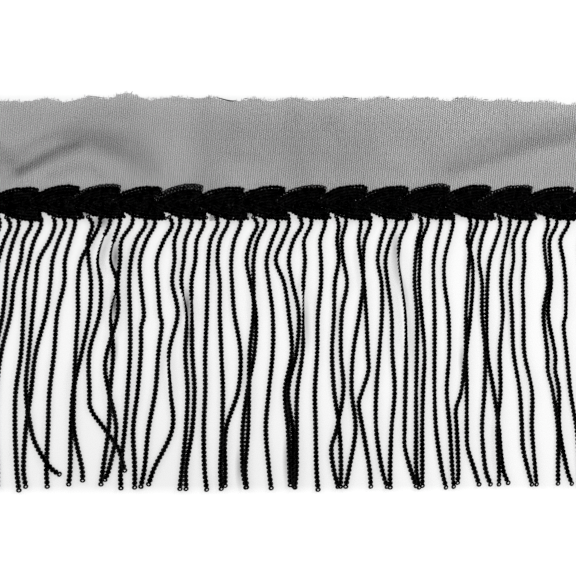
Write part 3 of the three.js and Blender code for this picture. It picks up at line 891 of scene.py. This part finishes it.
def motif_rows(number):
    """The rows of sequin centres of one motif: each one's count from the outline, whether it is
    in the upper lobe, and the centres. The row along the middle counts as 0."""
    reach = LOBES[number]
    following = LOBES[min(number + 1, LEAF_COUNT - 1)]
    rows = [(0, False, middle_row())]
    for outline, lobe, side in ((UPPER_OUTLINE, 0, 1), (LOWER_OUTLINE, 1, -1)):
        edge = lobe_edge(outline, reach[lobe], side)
        for k in range(MOST_ROWS):
            row = row_of(edge, outline, side, ROW_INSET + ROW_SPACING * k, following[lobe])
            if len(row) > 1:
                height = motif_height(row[:, 0], row[:, 1], *reach)
                rows.append((k, side > 0, np.column_stack([row, height])))
    return rows


def row_threads(k, loose):
    """The widths of the threads in row k of a motif, whose first rows may be loose."""
    if k < loose:
        return LOOSE_THREADS
    return ROW_THREADS if k else OUTLINE_THREADS


def make_motif(number, film, yarn):
    """One leaf motif: its rows of sequins, sewn down with their threads."""
    tip = np.array([LEAF_FIRST_TIP + number * LEAF_PITCH, LEAF_AXIS, 0])
    rings, threads = [], []
    for k, above, row in motif_rows(number):
        loose = LOOSE_ROWS.get(number + 1, 0) if above else 0
        middle = row + tip
        count = len(middle)
        if k == 0:
            middle[:, 1] += RANDOM.normal(0, OUTLINE_SHAKE, count)
        roll = np.radians(RANDOM.normal(0, LEAF_SHAKE, count))
        tilt = np.radians(LEAF_TILT + RANDOM.normal(0, LEAF_SHAKE, count))
        along, across, up = turned_frames(middle, roll, tilt)
        rings.append(sequins(middle, along, across, up, LEAF_SEQUIN_SIZE))
        threads.extend(chain_threads(middle, across, up, row_threads(k, loose)))
    node = f"leaf_{number + 1:02d}"
    materials = [film] * len(rings) + [yarn] * len(threads)
    return new_piece(f"sequins_{node}", rings + threads, materials, [node])


# ---- the mesh heading ----


def fold_crest(*ends):
    """A fold's crest as close points on a bowed line."""
    t = np.linspace(0, 1, CREST_POINTS)[:, None]
    start, bend, end = np.array(ends, float)
    return (1 - t) ** 2 * start + 2 * t * (1 - t) * bend + t**2 * end


def fold_lift(fold, x, y):
    """How high one fold lifts the cloth at each (x, y)."""
    *ends, height, below, above = fold
    crest = fold_crest(*ends)
    away = np.hypot(x[..., None] - crest[:, 0], y[..., None] - crest[:, 1])
    nearest = away.argmin(axis=-1)
    reach = np.where(y < crest[nearest, 1], below, above)
    fade = np.sin(math.pi * nearest / (len(crest) - 1))
    bell = 0.5 * (1 + np.cos(math.pi * np.clip(away.min(axis=-1) / reach, 0, 1)))
    return height * fade * bell


def lift_at(x, y):
    """How high the folds lift the cloth at each (x, y)."""
    return np.max([fold_lift(fold, x, y) for fold in FOLDS], axis=0)


def wave_over(x, y, length_x, length_y):
    """A wave over the cloth that turns by one radian in these lengths along and up the trim."""
    return np.sin(x / length_x + y / length_y)


def cloth_height(x, y):
    """The mesh's height above the surface: its folds, and a slight unevenness."""
    first, second = (wave_over(x, y, *lengths) for lengths in CLOTH_WAVES)
    return MESH_HEIGHT + lift_at(x, y) + CLOTH_WAVE_HEIGHT * (first * second)


def distance_to(line, x, y):
    """How far each (x, y) is from a smooth line through some points."""
    return np.min([np.hypot(x - a, y - b) for a, b in smooth_line(line, steps=8)], axis=0)


def crowding_at(x, y):
    """How much the yarns crowd together in the plan of the cloth: 0 is evenly spread. Along the
    gathers this also paints in the folds' shade.
    """
    crowding = np.zeros_like(x)
    for line, half, share in GATHERS_AND_FOLD_SHADE:
        away = distance_to(line, x, y) / half
        crowding = np.maximum(crowding, share * np.exp(-(away**2)))
    to_edge = (read_curve(CUT_EDGE, x) - y) / EDGE_REACH
    return crowding - EDGE_OPENING * np.exp(-(to_edge**2)) - FOLD_OPENING * lift_at(x, y)


def seam_edge(x):
    """Where the mesh ends behind the motifs."""
    edge = np.full_like(x, SEAM_EDGE)
    for middle, half, longer in SEAM_TABS:
        edge[np.abs(x - middle) < half] = longer
    return edge


def unevenness(shape, amount):
    """Random differences from each loop to the next that do not add up over longer stretches."""
    rough = RANDOM.normal(0, amount, shape)
    around = sum(np.roll(rough, step, axis) for axis in (0, 1) for step in (-1, 1)) / 4
    return rough - around


def knit_points():
    """The places where the knit's wales and courses cross, and which of them the upright yarns
    and the fine ones between them reach before the waving cut edge."""
    wales = int((HEADING_LENGTH + 2 * KNIT_MARGIN) / WALE_PITCH)
    courses = int(KNIT_REACH / COURSE_PITCH)
    wale, course = np.meshgrid(np.arange(wales + 1), np.arange(courses + 1), indexing="ij")
    y = course * COURSE_PITCH + KNIT_START
    even_x = (wale - wales / 2) * WALE_PITCH + WALE_LEAN * (y - LEAN_MIDDLE)
    x = even_x
    for sway, *lengths in WALE_SWAYS:
        x = x + sway * wave_over(even_x, y, *lengths)
    x = x + unevenness(x.shape, KNIT_UNEVEN)
    cut = read_curve(CUT_EDGE, x)
    fray = RANDOM.uniform(*WALE_FRAY, wales + 1)[:, None]
    inside = (y > seam_edge(x)) & (np.abs(x) < HEADING_LENGTH / 2)
    upright = inside & (y - COURSE_PITCH < cut + fray)
    linked = inside & (y < cut)
    return x, np.minimum(y, cut + fray), upright, linked


def pillar_shape(x, y, z, crowding, kept):
    """The knit's upright yarns as one shape."""
    x, y, z, crowding, kept = (values[:, ::PILLAR_STEP] for values in (x, y, z, crowding, kept))
    half = read_curve(PILLAR_WIDTHS, x) * (1 + PILLAR_CLOSING * crowding) / 2
    left = np.stack([x - half, y, z], -1)
    right = np.stack([x + half, y, z], -1)
    points = np.stack([left, right], -2).reshape(-1, 3)
    wale, course = np.nonzero(kept[:, 1:] & kept[:, :-1])
    here = 2 * (wale * x.shape[1] + course)
    faces = np.stack([here, here + 1, here + 3, here + 2], -1)
    used, faces = np.unique(faces, return_inverse=True)
    return points[used], faces.reshape(-1, 4)


def link_shape(x, y, z, crowding, kept):
    """The fine yarns that cross each other between every wale and the next, as one shape."""
    wale, course = np.nonzero(kept[1:, 1:] & kept[:-1, 1:] & kept[1:, :-1] & kept[:-1, :-1])
    every_other = np.tile((wale + course) % 2 - 0.5, 2)
    leaning = np.repeat([0, 1], len(wale))
    wale, course = np.tile(wale, 2), np.tile(course, 2)
    start = (wale + leaning, course)
    end = (wale + 1 - leaning, course + 1)
    places = np.stack([x, y, z - LINK_DROP], -1)
    a, b = places[start], places[end]
    width = read_curve(LINK_WIDTHS, x[start]) * (1 + LINK_CLOSING * crowding[start])
    width = width * (1 + read_curve(LINK_STAGGERS, x[start]) * every_other)
    half = unit(np.cross(UP, b - a)) * width[:, None] / 2
    points = np.stack([a - half, a + half, b + half, b - half], 1).reshape(-1, 3)
    corners = np.arange(len(a))[:, None] * 4
    return points, corners + [0, 3, 2, 1]


def hair_line(place, length, lean):
    """One bent hair that starts just inside the cut edge."""
    start = np.array([place, read_curve(CUT_EDGE, place) - HAIR_ROOT, MESH_HEIGHT])
    t = np.linspace(0, 1, HAIR_POINTS)[:, None]
    way = np.array([math.sin(lean), math.cos(lean), HAIR_RISE])
    curl = np.array([math.cos(lean), -math.sin(lean), HAIR_CURL_RISE]) * HAIR_CURL
    return start + length * (t * way + t**2 * curl)


def edge_hairs():
    """Loose fibre ends along the cut edge."""
    places = RANDOM.uniform(-HEADING_LENGTH / 2, HEADING_LENGTH / 2, HAIR_COUNT)
    lengths = RANDOM.uniform(*HAIR_LENGTHS, HAIR_COUNT)
    leans = RANDOM.normal(0, HAIR_LEAN, HAIR_COUNT)
    return [flat_thread(hair_line(*hair), *HAIR_SIZE) for hair in zip(places, lengths, leans)]


def rolled_edges():
    """The little rolls of cloth along the cut edge."""
    shapes = []
    for start, end, thickness in EDGE_ROLLS:
        x = np.linspace(start, end, ROLL_POINTS)
        y = read_curve(CUT_EDGE, x) + ROLL_PAST_EDGE
        z = np.full(ROLL_POINTS, MESH_HEIGHT + ROLL_LIFT)
        fade = np.sin(np.linspace(0, math.pi, ROLL_POINTS))[:, None]
        shapes.append(flat_thread(np.column_stack([x, y, z]), thickness, thickness, fade))
    return shapes


def make_heading(yarn):
    """The sheer heading as its real knitted net."""
    x, y, upright, linked = knit_points()
    z = cloth_height(x, y)
    crowding = crowding_at(x, y) + unevenness(x.shape, YARN_UNEVEN)
    shapes = [pillar_shape(x, y, z, crowding, upright), link_shape(x, y, z, crowding, linked)]
    shapes += edge_hairs() + rolled_edges()
    return new_piece("mesh_net", shapes, [yarn] * len(shapes), ["mesh_heading"])


# ---- the studio ----


def make_camera():
    """A long lens straight above the trim."""
    data = bpy.data.cameras.new("camera")
    data.sensor_width = 36
    data.lens = data.sensor_width * CAMERA_DISTANCE / VIEW_WIDTH
    data.clip_end = 20
    camera = add_object("camera", data)
    camera.location = in_frame([*VIEW_CENTRE, CAMERA_DISTANCE])
    bpy.context.scene.camera = camera


def make_floor():
    """A wide plain surface under the trim."""
    corners = [(x * FLOOR_REACH, y * FLOOR_REACH, 0) for x, y in ((-1, -1), (1, -1), (1, 1), (-1, 1))]
    mesh = bpy.data.meshes.new("pale_surface")
    mesh.from_pydata(corners, [], [(0, 1, 2, 3)])
    mesh.materials.append(floor_material())
    floor = add_object("pale_surface", mesh)


def place_light(name, kind, azimuth, elevation, distance):
    """A light that points at the middle of the trim, and its settings."""
    data = bpy.data.lights.new(name, kind)
    light = add_object(name, data)
    turn, rise = math.radians(azimuth), math.radians(elevation)
    reach = distance * math.cos(rise)
    light.location = (reach * math.cos(turn), reach * math.sin(turn), distance * math.sin(rise))
    light.rotation_euler = (math.pi / 2 - rise, 0, turn + math.pi / 2)
    return light, data


def make_softbox(name, azimuth, elevation, power):
    """A small softbox close to one end of the trim."""
    _, data = place_light(name, "AREA", azimuth, elevation, SOFTBOX_DISTANCE)
    data.shape = "RECTANGLE"
    data.size, data.size_y = SOFTBOX_SIZE
    data.energy = power


def make_key():
    """A soft even light from above that makes no highlights."""
    light, data = place_light("overhead_key", "SUN", azimuth=90, elevation=89.5, distance=2)
    data.angle = math.radians(2.5)
    data.energy = 4
    light.visible_glossy = False


def make_studio():
    """A bright pale room with a soft light from above and a softbox at each end."""
    make_softbox("left_softbox", azimuth=160, elevation=32, power=1.1)
    make_softbox("right_softbox", azimuth=20, elevation=32, power=3)
    make_key()
    world = bpy.data.worlds.new("studio")
    world.use_nodes = True
    background = world.node_tree.nodes["Background"]
    background.inputs["Color"].default_value = (1, 1, 1, 1)
    background.inputs["Strength"].default_value = 1
    bpy.context.scene.world = world
    set_tones()


def set_tones():
    """A plain view with slightly deepened blacks, as product pictures have."""
    view = bpy.context.scene.view_settings
    view.view_transform = "Standard"
    view.use_curve_mapping = True
    view.curve_mapping.black_level = (BLACK_LEVEL,) * 3
    view.curve_mapping.update()


# ---- the whole trim ----


def make_trim():
    """The fringe, the braided line over its roots, the motifs and the net that carries them all."""
    yarn = thread_material()
    # The lighter patches of these films' colours are painted sheen.
    film = sequin_material("strand_sequin_film", scale=45, dark=0.0006, light=0.004, gloss=0.06)
    edges = sequin_material("strand_sequin_edges", scale=45, dark=0.0008, light=0.003, gloss=0)
    leaf_film = sequin_material("leaf_sequin_film", scale=260, dark=0.0002, light=0.0018, gloss=0.055)
    pieces = make_fringe(film, edges, yarn)
    braid = stitched_line()
    pieces.append(new_piece("stitched_line", braid, [yarn] * len(braid), ["fringe"]))
    pieces += [make_motif(number, leaf_film, yarn) for number in range(LEAF_COUNT)]
    net = make_heading(mesh_material())


make_camera()
make_floor()
make_studio()
make_trim()
